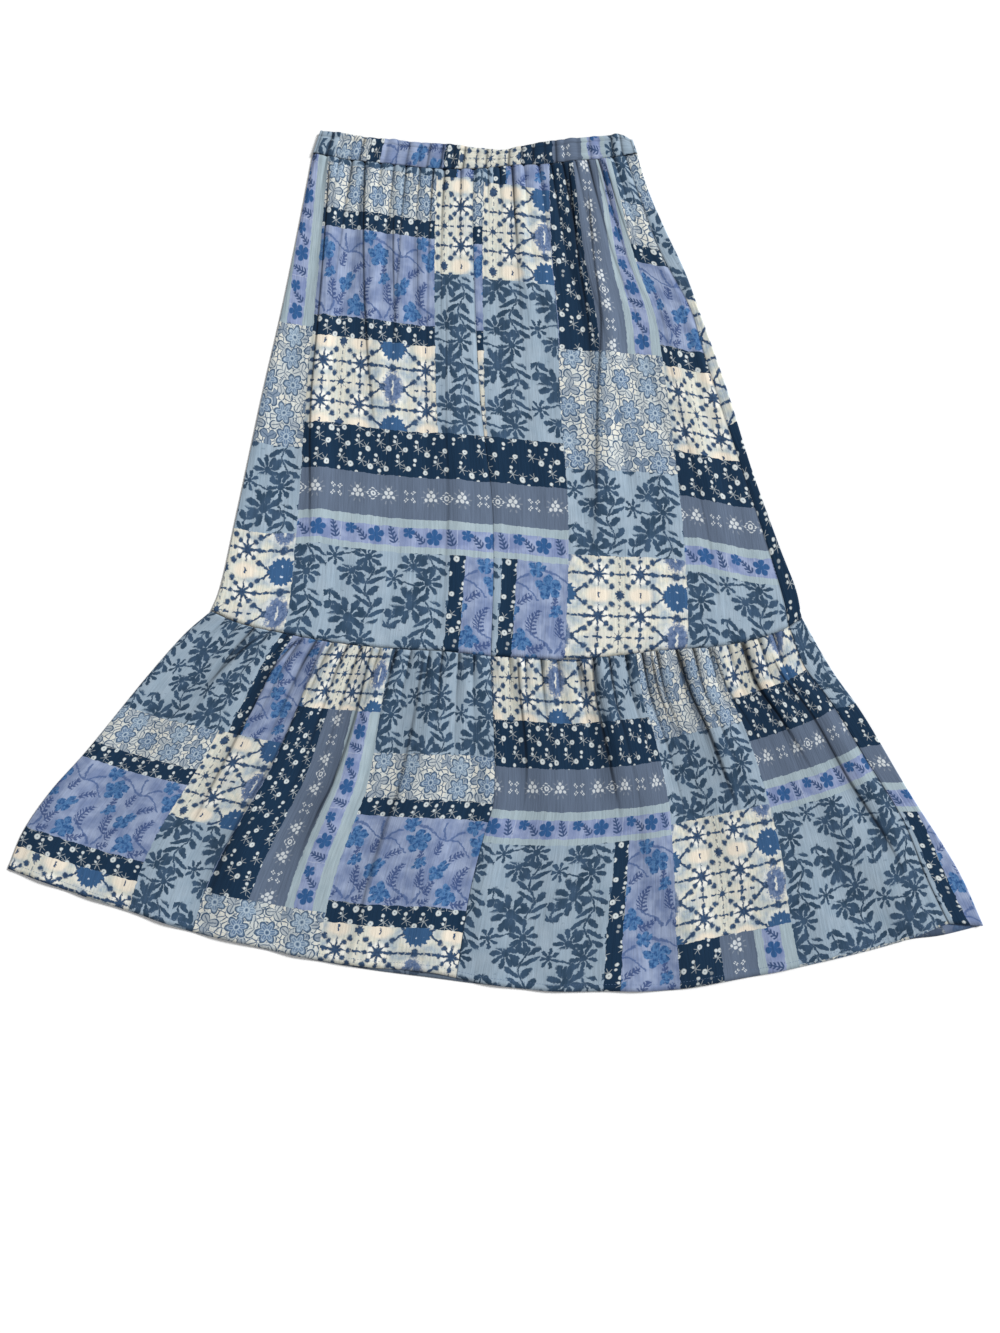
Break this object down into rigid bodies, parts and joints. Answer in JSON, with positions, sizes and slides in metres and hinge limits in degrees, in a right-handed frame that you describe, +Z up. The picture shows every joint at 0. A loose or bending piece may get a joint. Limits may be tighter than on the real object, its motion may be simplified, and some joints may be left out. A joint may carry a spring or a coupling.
{
  "type": "maxi skirt",
  "caption": "Tiered maxi skirt with an elastic waistband and a deep gathered flounce, in a patchwork print, laid flat on its back.",
  "frame": {"origin": "centre of the bounding box, on the surface that the skirt lies on", "axes": "+X to the right as seen from above, across the hem; +Y towards the waist; +Z up from the surface"},
  "size_m": [1.05, 0.9688, 0.0099],
  "materials": {
    "band_cloth": "printed crinkle viscose over elastic, matt",
    "skirt_cloth": "printed crinkle viscose, matt",
    "tier_cloth": "printed crinkle viscose, matt"
  },
  "bodies": {
    "root": {"waistband": "band_cloth", "front_left": "skirt_cloth", "front_right": "skirt_cloth", "back": "skirt_cloth", "tier_front_left": "tier_cloth", "tier_front_right": "tier_cloth", "tier_back": "tier_cloth"}
  },
  "joints": []
}
